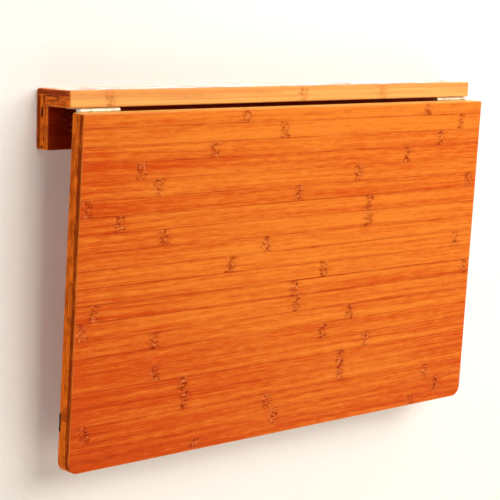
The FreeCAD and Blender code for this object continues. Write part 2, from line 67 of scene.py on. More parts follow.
# %% Helpers for node trees
def plug(tree, node, inputs):
    """Fill a node's inputs, named or numbered, each with a constant, with another node's output,
    or with a node, which stands for its first output."""
    for key, value in inputs.items():
        if isinstance(value, bpy.types.Node):
            value = value.outputs[0]
        if isinstance(value, bpy.types.NodeSocket):
            tree.links.new(value, node.inputs[key])
        else:
            node.inputs[key].default_value = value


def add(tree, kind, inputs=None, **settings):
    """Add a node, set its options, then fill its inputs."""
    made = tree.nodes.new(kind)
    for name, value in settings.items():
        setattr(made, name, value)
    plug(tree, made, inputs or {})
    return made


def maths(tree, operation, *values, clamp=False):
    """Math node for an operation on one or more values."""
    inputs = dict(enumerate(values))
    return add(tree, "ShaderNodeMath", inputs, operation=operation, use_clamp=clamp)


def in_a_row(operation):
    """Function that takes two or more numbers through a row of Math nodes."""
    def run(tree, first, *others):
        for value in others:
            first = maths(tree, operation, first, value)
        return first
    return run


plus, minus, times, over, least, most = [in_a_row(operation) for operation in (
    "ADD", "SUBTRACT", "MULTIPLY", "DIVIDE", "MINIMUM", "MAXIMUM")]


def vectors(tree, operation, *values):
    """A Vector Math node's result: a number for a length or a dot product, or else a vector."""
    made = add(tree, "ShaderNodeVectorMath", dict(enumerate(values)), operation=operation)
    return made.outputs["Value" if operation in ("LENGTH", "DOT_PRODUCT") else "Vector"]


def split(tree, vector):
    """The three numbers of a vector."""
    return add(tree, "ShaderNodeSeparateXYZ", {0: vector}).outputs


def joined(tree, x=0.0, y=0.0, z=0.0):
    """Vector of three numbers."""
    return add(tree, "ShaderNodeCombineXYZ", {0: x, 1: y, 2: z})


def sockets(tree, direction, names):
    """Declare a node group's inputs or outputs from a name: type table."""
    for name, kind in names.items():
        tree.interface.new_socket(name, in_out=direction, socket_type="NodeSocket" + kind)


def paint(red, green, blue):
    """A colour written as 0-255 screen values, turned into the linear values that Blender mixes."""
    linear = []
    for value in (red, green, blue):
        part = value / 255
        linear.append(part / 12.92 if part <= 0.04045 else ((part + 0.055) / 1.055) ** 2.4)
    return (*linear, 1.0)


print("a mid grey gives", round(paint(128, 128, 128)[0], 2), "of white's light")

# %% [markdown]
# ## Helpers for surfaces
#
# Every finish needs the same few steps: mix two colours by a mask, turn a noise into a mask with
# soft edges, and find the worn edges. The Bevel node gives the normal that a rounded edge would
# have, so where it differs from the true normal there is an edge, and a hand or a cloth has rubbed
# it.

# %% Helpers for surfaces
NOISE_RANGE = (0.3, 0.7)  # nearly all of a noise lies between these


def mix(tree, mask, first, second, blend="MIX"):
    """Colour that goes from first to second as the mask goes from 0 to 1."""
    inputs = {"Factor": mask, 6: first, 7: second}
    return add(tree, "ShaderNodeMix", inputs, data_type="RGBA", blend_type=blend).outputs[2]


def ramp(tree, value, low, high, out_low=0.0, out_high=1.0):
    """Straight ramp between two levels, held flat outside them."""
    inputs = {0: value, 1: low, 2: high, 3: out_low, 4: out_high}
    return add(tree, "ShaderNodeMapRange", inputs)


def fade(tree, mask, start, end):
    """Number that goes from start to end as the mask goes from 0 to 1."""
    return ramp(tree, mask, 0.0, 1.0, start, end)


def spread(tree, noise, low=0.0, high=1.0):
    """Number that goes from low to high over a noise's usual range."""
    return ramp(tree, noise, *NOISE_RANGE, low, high)


def grain(tree, vector, scale, detail=2.0, roughness=0.5, swirl=0.0):
    """Noise whose cells are stretched by a scale for each direction; swirl curls them."""
    placed = add(tree, "ShaderNodeMapping", {"Vector": vector, "Scale": scale})
    inputs = {"Vector": placed, "Scale": 1.0, "Detail": detail, "Roughness": roughness,
              "Distortion": swirl}
    return add(tree, "ShaderNodeTexNoise", inputs)


def worn_edges(tree, radius, full):
    """Mask that is 1 along edges: how far a rounded edge's normal leans from the surface's own."""
    soft = add(tree, "ShaderNodeBevel", {"Radius": radius}, samples=6)
    true = add(tree, "ShaderNodeNewGeometry").outputs["Normal"]
    lean = minus(tree, 1.0, vectors(tree, "DOT_PRODUCT", soft, true))
    return ramp(tree, lean, 0.02, full)


def new_material(name):
    """Empty material with its tree, its Principled shader and its texture coordinates."""
    material = bpy.data.materials.new(name)
    material.use_nodes = True
    tree = material.node_tree
    tree.nodes.clear()
    shader = add(tree, "ShaderNodeBsdfPrincipled")
    add(tree, "ShaderNodeOutputMaterial", {"Surface": shader})
    return material, tree, shader, add(tree, "ShaderNodeTexCoord").outputs


def bump(tree, height, depth, strength=1.0):
    """Normal from a height of 0 to 1, where 1 stands depth metres proud."""
    inputs = {"Height": height, "Distance": depth, "Strength": strength}
    return add(tree, "ShaderNodeBump", inputs)


print("a noise is taken to lie within", NOISE_RANGE)

# %% [markdown]
# ## Bamboo, part 1: which strip am I in?
#
# A bamboo board is pressed from three layers, and each layer is glued up from strips 17 mm wide. A
# wood texture can't show that, so the shader works out a place inside the board first. Its "board
# coordinates" are in millimetres: the first runs along the strips, the second across them and the
# third down into the board. Dividing by the strip's width and the layer's thickness gives the
# strip's number and the layer's, and a White Noise of the two gives each strip its own tone, which
# also shifts from one side of the strip to the other as it does through the wall of a cane.
#
# Working from a place in the solid, not from a picture wrapped round it, means that the same strip
# shows on the face, the edge and the end of a board, as it does on a real one.

# %% Bamboo, part 1: strips and layers
STRIP_WIDTH = 17.0        # mm
BOARD_THICKNESS = 17.0    # mm
LAYERS = 3
LAYER_THICKNESS = BOARD_THICKNESS / LAYERS
LAYER_SHIFT = 6.3         # mm that each layer's joints are set over from the layer above


def strip_group():
    """Node group: board coordinates to strip number, layer, tone and distance to a joint."""
    tree = bpy.data.node_groups.new("bamboo strips", "ShaderNodeTree")
    sockets(tree, "INPUT", {"Board": "Vector", "First Strip": "Float", "Seed": "Float"})
    sockets(tree, "OUTPUT", {"Strip": "Float", "Layer": "Float", "Joint": "Float",
                             "Layer Joint": "Float", "Random": "Vector", "Tone": "Float"})
    given = add(tree, "NodeGroupInput").outputs
    place = split(tree, given["Board"])

    depth = over(tree, place[2], LAYER_THICKNESS)
    layer = least(tree, most(tree, maths(tree, "FLOOR", depth), 0.0), LAYERS - 1)
    layer_joint = times(tree, maths(tree, "PINGPONG", depth, 0.5), LAYER_THICKNESS)

    start = minus(tree, STRIP_WIDTH, given["First Strip"])
    shifted = plus(tree, place[1], start, times(tree, layer, LAYER_SHIFT))
    across = over(tree, shifted, STRIP_WIDTH)
    strip = maths(tree, "FLOOR", across)
    joint = times(tree, maths(tree, "PINGPONG", across, 0.5), STRIP_WIDTH)

    key = joined(tree, strip, layer, given["Seed"])
    random = add(tree, "ShaderNodeTexWhiteNoise", {"Vector": key}, noise_dimensions="3D").outputs
    lean = split(tree, random["Color"])[1]
    side = minus(tree, maths(tree, "FRACT", across), 0.5)
    tone = plus(tree, random["Value"], times(tree, side, fade(tree, lean, -0.75, 0.85)))

    add(tree, "NodeGroupOutput", {
        "Strip": strip, "Layer": layer, "Joint": joint, "Layer Joint": layer_joint,
        "Random": random["Color"], "Tone": tone})
    return tree


bamboo_strips = strip_group()
print("strip group has", len(bamboo_strips.nodes), "nodes")

# %% [markdown]
# ## Bamboo, part 2: fibre, nodes and glue
#
# A bamboo strip is a bundle of straight fibres, so its noise is stretched some fifty times along
# the strip. Every 200 to 300 mm a strip crosses one of the cane's nodes, which shows as a short
# band of curled dark flecks across that one strip. The glue between strips is a hair-thin dark line
# that comes and goes. Long edges show the strips' paler sides, the ends show cut fibres as dark
# dots, and the lacquer wears pale along the arrises.
#
# All of it is one node group with the colour, the roughness and the height as outputs, and each
# board's own material feeds it.

# %% Bamboo, part 2: colours
HONEY = paint(226, 124, 37)           # the fibre, from its palest
AMBER = paint(199, 70, 6)
UMBER = paint(158, 48, 3)             # to its darkest
STRAW = paint(238, 182, 92)           # a strip's pale side, and its palest fibres
TOAST = paint(142, 42, 3)             # its dark fibres
SPECK_LIGHT = paint(229, 154, 86)     # pale curls in a node
EDGE_RUB = paint(229, 136, 55)        # a worn arris
END_LIGHT = paint(236, 114, 24)       # a board's end, palest and darkest
END_DARK = paint(142, 49, 2)
DARK_GAP = paint(60, 18, 3)           # an open joint
BAND_TINT = (0.9, 0.74, 0.55, 1.0)    # what a node's band leaves of red, green and blue
CURL_TINT = (0.36, 0.1, 0.05, 1.0)    # what a dark curl leaves
GLUE_TINT = (0.58, 0.12, 0.03, 1.0)   # what a glue line leaves
RECESS_SHADE_TINT = (0.4, 0.18, 0.4, 1.0)    # what the rail front's painted shade leaves at full
NODE_SPACING = 265.0                  # mm between nodes along a strip
NODE_HALF_WIDTH = 7.0                 # mm of a node's band each side of its middle
print("honey in linear light:", HONEY[:3])


# %% Bamboo, part 2: masks
def from_centre(tree, place, centre, half):
    """How far a place lies from a centre in each direction, as a share of a half-size."""
    return vectors(tree, "DIVIDE", vectors(tree, "SUBTRACT", place, centre), half)


def open_joint(tree, board, centre, half):
    """Mask of a gap in the glue: a flat ellipsoid with its centre and half-sizes in board mm."""
    far = vectors(tree, "LENGTH", from_centre(tree, board, centre, half))
    ragged = spread(tree, grain(tree, board, (0.1, 0.7, 0.7), detail=3.0), -0.2, 0.2)
    return ramp(tree, plus(tree, far, ragged), 1.1, 0.8)


def nearest_node(tree, along, places, wander):
    """Distance in mm to the nearest of three nodes, with an edge that wanders."""
    moved, places = plus(tree, along, wander), split(tree, places)
    gaps = [maths(tree, "ABSOLUTE", minus(tree, moved, places[number])) for number in range(3)]
    return least(tree, *gaps)


def near_edge(tree, place, size):
    """Mask of the board's arrises, where two of the distances to its faces are small together."""
    wide = split(tree, size)
    x, y, z = [least(tree, place[axis], minus(tree, wide[axis], place[axis])) for axis in range(3)]
    second = most(tree, least(tree, x, y), least(tree, most(tree, x, y), z))
    return ramp(tree, second, 1.6, 0.6)


def faces_along(tree, part):
    """Mask of the faces that look along one of the board's directions, either way."""
    return ramp(tree, maths(tree, "ABSOLUTE", part), 0.55, 0.85)


# %% Bamboo, part 2: fibre
def wood_noises(tree, board):
    """The fibre's noises, from broad bands down to hairs, and the clouds of wear."""
    return {
        "bands": grain(tree, board, (0.0035, 0.22, 0.22)),
        "streaks": grain(tree, board, (0.014, 0.8, 0.8), detail=3.0, roughness=0.6),
        "flames": grain(tree, board, (0.05, 0.36, 0.36), detail=3.0, roughness=0.7, swirl=0.3),
        "hairs": grain(tree, board, (0.045, 3.2, 3.2), roughness=0.6),
        "clouds": grain(tree, board, (0.007, 0.03, 0.03), detail=1.0),
    }


def fibre_colour(tree, given, noises, dark_hair, long_edge):
    """Umber through amber to honey by tone, with hairs, browned joints and pale long edges."""
    tone = plus(tree, times(tree, given["Tone"], 0.5), given["Tone Shift"],
                spread(tree, noises["bands"], -0.36, 0.4),
                spread(tree, noises["streaks"], -0.1, 0.5),
                spread(tree, noises["flames"], -0.36, 0.36))
    colour = mix(tree, ramp(tree, tone, -0.2, 0.9), AMBER, HONEY)
    colour = mix(tree, ramp(tree, tone, -0.3, -1.0), colour, UMBER)
    colour = mix(tree, times(tree, dark_hair, 0.28), colour, TOAST)
    light_hair = ramp(tree, noises["hairs"], 0.42, 0.28)
    colour = mix(tree, times(tree, light_hair, 0.14), colour, STRAW)
    beside_joint = times(tree, ramp(tree, given["Joint"], 3.0, 0.3), given["Glue"],
                         ramp(tree, noises["streaks"], 0.62, 0.42, 0.0, 0.42))
    colour = mix(tree, beside_joint, colour, GLUE_TINT, "MULTIPLY")
    paleness = times(tree, fade(tree, given["Layer"], 0.45, 0.8),
                     ramp(tree, noises["bands"], 0.35, 0.6, 0.75, 1.1))
    return mix(tree, maths(tree, "MULTIPLY", long_edge, paleness, clamp=True), colour, STRAW)


# %% Bamboo, part 2: nodes, glue and ends
def node_masks(tree, board, along, places):
    """A node's soft band, its dark curls, its pale curls and the halo round it."""
    wander = spread(tree, grain(tree, board, (0.03, 0.22, 0.22), detail=3.0), -3.2, 3.2)
    gap = nearest_node(tree, along, places, wander)
    patches = ramp(tree, grain(tree, board, (0.16, 0.2, 0.2), detail=1.0), 0.36, 0.56, 0.35, 1.0)
    band = times(tree, ramp(tree, gap, NODE_HALF_WIDTH + 1.0, NODE_HALF_WIDTH - 3.0), patches)
    curls = grain(tree, board, (0.2, 0.36, 0.36), roughness=0.55, swirl=1.2)
    soft_band = times(tree, patches, ramp(tree, gap, NODE_HALF_WIDTH + 1.5, 1.0))
    dark_curl = times(tree, band, ramp(tree, curls, 0.46, 0.64))
    light_curl = times(tree, band, ramp(tree, curls, 0.46, 0.34))
    return soft_band, dark_curl, light_curl, ramp(tree, gap, NODE_HALF_WIDTH + 12, NODE_HALF_WIDTH)


def glue_lines(tree, given, not_end, long_edge):
    """Mask of the lines between strips and, on long edges, between layers."""
    patchy = ramp(tree, grain(tree, given["Board"], (0.008, 0.05, 0.05)), 0.38, 0.6, 0.15, 1.0)
    line = times(tree, ramp(tree, given["Joint"], 0.85, 0.2), given["Glue"], patchy, not_end)
    layer_line = times(tree, ramp(tree, given["Layer Joint"], 0.5, 0.1), long_edge, patchy, 0.3)
    return most(tree, line, layer_line)


def end_grain(tree, given):
    """A board's end: layers and strips of their own tone, cut fibres and open joints."""
    streaks = grain(tree, given["Board"], (0.1, 0.07, 0.55), detail=3.0)
    tone = plus(tree, times(tree, given["Tone"], 0.45),
                times(tree, fade(tree, given["Layer"], -0.6, 0.9), 0.5),
                spread(tree, streaks, -0.45, 0.45))
    colour = mix(tree, ramp(tree, tone, 0.0, 1.0), END_DARK, END_LIGHT)
    dots = ramp(tree, grain(tree, given["Board"], (0.1, 1.7, 1.7), detail=1.0), 0.46, 0.66)
    colour = mix(tree, times(tree, dots, 0.25), colour, DARK_GAP)
    joint = least(tree, given["Joint"], given["Layer Joint"])
    line = times(tree, ramp(tree, joint, 0.4, 0.1), 0.25)
    return mix(tree, most(tree, line, given["Open"]), colour, DARK_GAP)


# %% Bamboo, part 2: the wood itself
def wood_group():
    """Node group: a place in a board and its strip to colour, roughness, height and lacquer."""
    tree = bpy.data.node_groups.new("bamboo wood", "ShaderNodeTree")
    sockets(tree, "INPUT", {
        "Board": "Vector", "Face": "Vector", "Tone": "Float", "Joint": "Float",
        "Layer Joint": "Float", "Nodes": "Vector", "Glue": "Float", "Layer": "Float",
        "Open": "Float", "Tone Shift": "Float", "Size": "Vector", "Recess Shade": "Float"})
    sockets(tree, "OUTPUT", {"Colour": "Color", "Roughness": "Float", "Height": "Float",
                             "Lacquer": "Float"})
    given = add(tree, "NodeGroupInput").outputs
    place, face = split(tree, given["Board"]), split(tree, given["Face"])
    end_face, long_edge = faces_along(tree, face[0]), faces_along(tree, face[1])
    not_end = minus(tree, 1.0, end_face)
    noises = wood_noises(tree, given["Board"])
    dark_hair = ramp(tree, noises["hairs"], 0.55, 0.72)
    masks = node_masks(tree, given["Board"], place[0], given["Nodes"])
    soft_band, dark_curl, light_curl, halo = masks
    glue_line = glue_lines(tree, given, not_end, long_edge)

    colour = fibre_colour(tree, given, noises, dark_hair, long_edge)
    colour = mix(tree, soft_band, colour, BAND_TINT, "MULTIPLY")
    seen_curl = times(tree, dark_curl, not_end, fade(tree, long_edge, 1.0, 0.35))
    colour = mix(tree, seen_curl, colour, CURL_TINT, "MULTIPLY")
    colour = mix(tree, times(tree, light_curl, 0.6), colour, SPECK_LIGHT)
    colour = mix(tree, times(tree, halo, dark_hair, 0.5), colour, CURL_TINT, "MULTIPLY")
    colour = mix(tree, glue_line, colour, GLUE_TINT, "MULTIPLY")
    colour = mix(tree, end_face, colour, end_grain(tree, given))
    # Painted shade: darkens the side the layers count towards, the rail's front in its recess.
    recess_shaded = times(tree, ramp(tree, face[2], 0.6, 0.9), given["Recess Shade"])
    colour = mix(tree, recess_shaded, colour, RECESS_SHADE_TINT, "MULTIPLY")
    worn = times(tree, near_edge(tree, place, given["Size"]),
                 ramp(tree, noises["clouds"], 0.35, 0.6, 0.22, 0.46))
    colour = mix(tree, worn, colour, EDGE_RUB)

    rough = plus(tree, spread(tree, noises["hairs"], 0.34, 0.48), times(tree, dark_curl, 0.12),
                 times(tree, end_face, 0.16))
    height = minus(tree, times(tree, noises["hairs"], 0.35), times(tree, dark_curl, 0.3),
                   times(tree, glue_line, 0.1))
    sunk = most(tree, dark_curl, glue_line)
    lacquer = times(tree, fade(tree, end_face, 1.0, 0.15), fade(tree, sunk, 1.0, 0.4))
    add(tree, "NodeGroupOutput", {"Colour": colour, "Roughness": rough, "Height": height,
                                  "Lacquer": lacquer})
    return tree


bamboo_wood = wood_group()
print("wood group has", len(bamboo_wood.nodes), "nodes")

# %% [markdown]
# ## Bamboo, part 3: one material for each board
#
# A board's material says how the board lies: which way its strips run, which way they are laid, and
# the corner that they are counted from. A Mapping node turns object coordinates into board
# coordinates with those, and it turns the surface's normal the same way. The hanging leaf leans in
# a little at its foot, so its Mapping node is turned by that lean too.
#
# The leaf's tone holds painted light: it is palest round one spot near its hinges and browner
# towards its far corners, as if lit most there. The rail's front, which the hanging leaf hides,
# is darkened as painted shade of the recess behind it.
#
# Most boards take their nodes at random. On the leaf's face each strip's nodes have a place of
# their own, and a ColorRamp holds them: one flat step for each strip, whose red, green and blue are
# three places along the strip and whose alpha says how dark the glue line below the strip is.

# %% Bamboo, part 3: board coordinates and nodes
def board_place(tree, coordinates, along, across, corner):
    """Mapping nodes for a board: its place in mm, and its normal, both in board directions."""
    turn = Matrix((along, across, along.cross(across)))
    angles = turn.to_euler()
    place = add(tree, "ShaderNodeMapping", {
        "Vector": coordinates["Object"], "Scale": (1 / MM,) * 3, "Rotation": angles,
        "Location": -(turn @ corner) / MM})
    normal = add(tree, "ShaderNodeMapping", {"Vector": coordinates["Normal"], "Rotation": angles})
    return place, normal


def random_nodes(tree, random):
    """Three evenly spaced places along a strip, set over by the strip's own random number."""
    first = times(tree, split(tree, random)[0], NODE_SPACING)
    return joined(tree, *[plus(tree, first, NODE_SPACING * number) for number in range(3)])


# %% The leaf's own nodes and glue lines
# For each strip from the hinge edge to the free edge, its nodes, in mm from the leaf's left end.
LEAF_NODES = (
    (216, 503), (273, 564), (173, 530), (76, 473), (99, 393), (10, 300, 585), (50, 414),
    (110, 415), (256,), (205, 569), (346,), (24, 302, 590), (10, 307), (103, 394), (352,),
    (108, 423), (146, 382), (149, 383), (18, 270, 532), (282, 554), (167, 509),
)
# How dark the glue line below a strip is, where it stands out.
DARK_JOINTS = {0: 0.8, 2: 0.75, 5: 0.75, 6: 0.65, 8: 0.9, 10: 0.75, 11: 1.0, 13: 0.6}
FAINT_JOINT = 0.3
FAR_AWAY = 720.0          # mm, past the board's end, where a strip's missing nodes go


def node_ramp(tree, strip, steps):
    """Places in mm (three to a strip) and glue darkness, looked up by the strip's number."""
    count = len(steps)
    middle = over(tree, plus(tree, strip, 0.5), count)
    table = add(tree, "ShaderNodeValToRGB", {0: middle})
    table.color_ramp.interpolation = "CONSTANT"
    marks = table.color_ramp.elements
    while len(marks) < count:
        marks.new(1.0)
    for number, places in enumerate(steps):
        red, green, blue = [place / FAR_AWAY for place in (*places, FAR_AWAY, FAR_AWAY)[:3]]
        marks[number].position = number / count
        marks[number].color = red, green, blue, DARK_JOINTS.get(number, FAINT_JOINT)
    places = add(tree, "ShaderNodeVectorMath", {0: table, "Scale": FAR_AWAY}, operation="SCALE")
    return places, table.outputs["Alpha"]


print("leaf has", len(LEAF_NODES), "strips on its face and", sum(map(len, LEAF_NODES)), "nodes")


# %% A board's material
def bamboo(name, along, across, corner, size, first_strip, seed, tone=0.0, light_pool=None,
           gaps=(), lacquer=0.16, recess_shade=0.0, node_steps=None, front_nodes=None):
    """Lacquered bamboo for one board, whose sizes are all in mm. tone makes it paler, and
    light_pool, a centre and a reach, paints light on it: paler there and browner away from it.
    gaps lists open joints as (centre, half-sizes). stain paints shade: it darkens the side that
    the layers are counted towards. front_nodes are places on the front edge."""
    material, tree, shader, coordinates = new_material(name)
    place, normal = board_place(tree, coordinates, along, across, corner)
    inputs = {"Board": place, "First Strip": first_strip, "Seed": seed}
    strips = add(tree, "ShaderNodeGroup", inputs, node_tree=bamboo_strips).outputs
    nodes = random_nodes(tree, strips["Random"])
    glue = fade(tree, strips["Tone"], 0.75, 0.2)
    if node_steps:
        face_nodes, face_glue = node_ramp(tree, strips["Strip"], node_steps)
        on_face = maths(tree, "LESS_THAN", strips["Layer"], 0.5)
        nodes = mix(tree, on_face, nodes, face_nodes)
        glue = plus(tree, times(tree, face_glue, on_face),
                    times(tree, glue, minus(tree, 1.0, on_face)))
    if front_nodes:
        on_front = maths(tree, "GREATER_THAN", strips["Strip"], 1.5)
        nodes = mix(tree, on_front, nodes, (*front_nodes, 1.0))
    # Painted light: the tone falls off away from the spot, as under a pool of light.
    if light_pool:
        away = from_centre(tree, place, *light_pool)
        tone = minus(tree, tone, vectors(tree, "DOT_PRODUCT", away, away))
    opened = 0.0
    for gap in gaps:
        opened = most(tree, opened, open_joint(tree, place, *gap))
    inputs = {key: strips[key] for key in ("Tone", "Joint", "Layer Joint", "Layer")}
    inputs.update({"Board": place, "Face": normal, "Nodes": nodes, "Glue": glue, "Open": opened,
                   "Tone Shift": tone, "Size": size, "Recess Shade": recess_shade})
    wood = add(tree, "ShaderNodeGroup", inputs, node_tree=bamboo_wood).outputs
    plug(tree, shader, {
        "Base Color": wood["Colour"], "Roughness": wood["Roughness"],
        "Normal": bump(tree, wood["Height"], 0.00012, 0.6),
        "Coat Weight": times(tree, wood["Lacquer"], lacquer), "Coat Roughness": 0.38,
        "Specular IOR Level": 0.02})
    return material


# %% The boards' materials
LEAF_LEAN = math.radians(2.5)
ALONG_WALL, OUT, DOWN = Vector((1, 0, 0)), Vector((0, -1, 0)), Vector((0, 0, -1))
DOWN_LEAF = Vector((0, math.sin(LEAF_LEAN), -math.cos(LEAF_LEAN)))
hinge_axis = next(Vector(joint["pos_m"]) for joint in frame["joints"]
                  if joint["name"] == "leaf_hinge")
lowered = Matrix.Rotation(math.radians(90) + LEAF_LEAN, 4, "X")


def lower_with_leaf(point):
    """Place of a point of the raised leaf, in mm, once the leaf hangs down."""
    return hinge_axis + lowered @ (Vector(point) * MM - hinge_axis)


def finish(node, material):
    """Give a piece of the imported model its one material."""
    slots = frame["nodes"][node].data.materials
    slots.clear()
    slots.append(material)


# Open joints: each one's centre and half-sizes in its board's mm.
LEDGE_GAPS = (((0, 21.6, 6.7), (25, 10.8, 0.55)), ((0, 32.4, 9.3), (25, 0.6, 3.2)),
              ((0, 22.0, 11.6), (25, 9.5, 0.35)), ((0, 12.0, 9.5), (25, 0.5, 5.0)))
RAIL_GAPS = (((600, 17.0, 8.8), (25, 6.0, 1.7)), ((600, 5.5, 11.0), (25, 6.0, 0.7)),
             ((600, 43.0, 11.0), (25, 2.2, 0.9)), ((600, 50.5, 8.6), (25, 1.8, 1.4)))
# The leaf's painted light: the centre of its palest spot, and its reach along, across and
# into the board.
PAINTED_LIGHT_POOL = ((402, -24, 0), (570, 485, 10000))

low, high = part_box("ledge")
boards = {"ledge": bamboo(
    "ledge bamboo", ALONG_WALL, OUT, Vector((low.x, high.y, high.z)),
    size=(600, 50, 17), first_strip=22.1, seed=3.0, gaps=LEDGE_GAPS, lacquer=0.6,
    front_nodes=(50.0, 320.0, 447.0))}
low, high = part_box("back_rail")
# Painted shade: the rail's low tone and darkened front stand for the recess behind the leaf.
boards["back_rail"] = bamboo(
    "rail bamboo", -ALONG_WALL, DOWN, high,
    size=(600, 53.3, 17), first_strip=8.0, seed=11.0, tone=-0.7, gaps=RAIL_GAPS, recess_shade=0.75)
boards["leaf_panel"] = bamboo(
    "leaf bamboo", ALONG_WALL, DOWN_LEAF, lower_with_leaf((-300, -51, 17)),
    size=(600, 349, 17), first_strip=14.0, seed=554.0, tone=0.18, light_pool=PAINTED_LIGHT_POOL,
    lacquer=0.1, node_steps=LEAF_NODES)
for number, side in enumerate(("left", "right")):
    low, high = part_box(side + "_upright")
    boards[side + "_upright"] = bamboo(
        side + " upright bamboo", DOWN, -ALONG_WALL, Vector((high.x, low.y, high.z)),
        size=(298, 45, 17), first_strip=12.0, seed=23.0 + number)
    low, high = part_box(side + "_catch_cleat")
    boards[side + "_catch_cleat"] = bamboo(
        side + " cleat bamboo", DOWN_LEAF, ALONG_WALL, Vector((low.x, high.y, high.z)),
        size=(400, 34, 400), first_strip=9.0, seed=35.0 + number)   # its far ends aren't worn
for node, material in boards.items():
    finish(node, material)
print("boards finished in bamboo:", ", ".join(boards))

# %% [markdown]
# ## Metal, rubber, nylon and beech
#
# The small pieces are told apart by how they shine. Nickel is bright and a little warm, black steel
# is a satin paint that rubs bright at its edges, zinc has cloudy crystals, and rubber is dull. One
# function makes a metal from its colour, its roughness and how cloudy it is, and one makes the
# coated and moulded finishes.

# %% Metal finishes
def metal(name, colours, cloud_size=0.004, roughness=0.28):
    """Plated or bare metal, from its plain, dull and worn colours: fine scratches, cloudy colour
    and bright edges."""
    material, tree, shader, coordinates = new_material(name)
    plain, dull, worn = [paint(*colour) for colour in colours]
    clouds = grain(tree, coordinates["Object"], (1 / cloud_size,) * 3, detail=3.0)
    scratches = grain(tree, coordinates["Object"], (900.0, 6000.0, 6000.0))
    shade = mix(tree, ramp(tree, clouds, 0.35, 0.65), plain, dull)
    plug(tree, shader, {
        "Base Color": mix(tree, worn_edges(tree, 0.0006, 0.25), shade, worn),
        "Roughness": plus(tree, spread(tree, scratches, -0.06, 0.08),
                          spread(tree, clouds, roughness - 0.03, roughness + 0.05)),
        "Normal": bump(tree, scratches, 0.000008, 0.5), "Metallic": 1.0})
    return material


hinge_nickel = metal(
    "hinge nickel", ((196, 176, 146), (160, 140, 112), (224, 208, 182)), roughness=0.42)
screw_nickel = metal(
    "screw nickel", ((214, 204, 190), (180, 170, 156), (236, 228, 218)), cloud_size=0.002)
pin_steel = metal("hinge pin steel", ((196, 192, 186), (165, 160, 154), (225, 222, 218)))
zinc = metal("screw zinc", ((205, 206, 200), (170, 172, 160), (228, 230, 228)), 0.0015, 0.34)
brass = metal("insert brass", ((222, 180, 100), (186, 142, 70), (240, 206, 136)), 0.003, 0.3)
black_oxide = metal("bolt black oxide", ((44, 43, 46), (28, 27, 30), (96, 94, 96)), 0.003, 0.36)
print("a metal has", len(zinc.node_tree.nodes), "nodes")


# %% Painted, moulded and turned finishes
def moulded(name, colours, pebble, depth, roughness, shine=0.5):
    """Paint, rubber or nylon, from its plain, cloudy and worn colours: a skin of pebbles of a size
    and depth in metres, with rubbed edges."""
    material, tree, shader, coordinates = new_material(name)
    plain, cloudy, worn = [paint(*colour) for colour in colours]
    clouds = grain(tree, coordinates["Object"], (70.0,) * 3, detail=3.0)
    pebbles = grain(tree, coordinates["Object"], (1 / pebble,) * 3)
    tint = mix(tree, ramp(tree, clouds, 0.35, 0.65), plain, cloudy)
    rubbed = times(tree, worn_edges(tree, 0.0008, 0.3), 0.6)
    plug(tree, shader, {
        "Base Color": mix(tree, rubbed, tint, worn),
        "Roughness": spread(tree, clouds, roughness - 0.06, roughness + 0.08),
        "Normal": bump(tree, pebbles, depth, 0.6), "Specular IOR Level": shine})
    return material


def beech():
    """Turned beech: pale wood with short dark flecks along the dowel."""
    material, tree, shader, coordinates = new_material("dowel beech")
    fibres = grain(tree, coordinates["Object"], (1500.0, 260.0, 1500.0), detail=3.0)
    flecks = grain(tree, coordinates["Object"], (2600.0, 500.0, 2600.0), detail=1.0)
    wood = mix(tree, spread(tree, fibres), paint(226, 186, 140), paint(206, 160, 112))
    flecked = times(tree, ramp(tree, flecks, 0.6, 0.7), 0.5)
    plug(tree, shader, {
        "Base Color": mix(tree, flecked, wood, paint(150, 100, 62)),
        "Roughness": spread(tree, fibres, 0.55, 0.7), "Normal": bump(tree, fibres, 0.00005, 0.6)})
    return material


frame_paint = moulded("black steel paint", ((17, 16, 17), (10, 9, 10), (70, 68, 68)),
                      pebble=0.0006, depth=0.00004, roughness=0.42)
bar_paint = moulded("bar black paint", ((9, 8, 8), (6, 5, 5), (22, 20, 20)),
                    pebble=0.0006, depth=0.00004, roughness=0.5, shine=0.08)
rubber = moulded("black rubber", ((38, 37, 36), (27, 26, 26), (70, 69, 67)),
                 pebble=0.0004, depth=0.00003, roughness=0.78)
nylon = moulded("natural nylon", ((232, 228, 214), (219, 213, 196), (245, 243, 236)),
                pebble=0.0008, depth=0.00002, roughness=0.5)
print("a moulded finish has", len(rubber.node_tree.nodes), "nodes")

# %% Finish the small pieces
finishes = {   # by how a piece's name ends
    "hinge_plate": hinge_nickel, "hinge_pin": pin_steel, "hinge_screws": screw_nickel,
    "pivot_bolt": black_oxide, "pivot_insert": brass, "pivot_spacer": nylon,
    "prop_sleeve": rubber, "buffer_screw": zinc, "buffer": rubber, "cleat_screws": zinc,
    "bar_screws": black_oxide, "stiffening_bar": bar_paint, "prop_frame": frame_paint,
    "dowels": beech(),
}
small_pieces = [node for node in frame["nodes"] if node not in boards]
for node in small_pieces:
    finish(node, next(finishes[ending] for ending in finishes if node.endswith(ending)))
print("small pieces finished:", len(small_pieces))

# %% [markdown]
# ## Screws, part 1: one screw from its sizes
#
# The table holds twenty-three screws in rows: countersunk ones through the hinge plates, the bar
# and the cleats, and two pan heads through the rubber buffers. They could be modelled one by one,
# but a Geometry Nodes tree with the sizes as inputs makes every kind from the same recipe.
#
# A screw is turned, so its body is a sheet wrapped round an axis. A Grid has a column of points for
# each corner of the outline and a row for each step round. Set Position gives every point the
# radius and height of its column, and the angle of its row, and Merge by Distance closes the seam
# and the two poles. The thread is a triangle swept along a spiral, and the cross in the head is cut
# with Mesh Boolean, as a punch would press it.

# %% Screws, part 1: the turned body
SIDES = 32
ROWS = SIDES + 1   # the last row meets the first


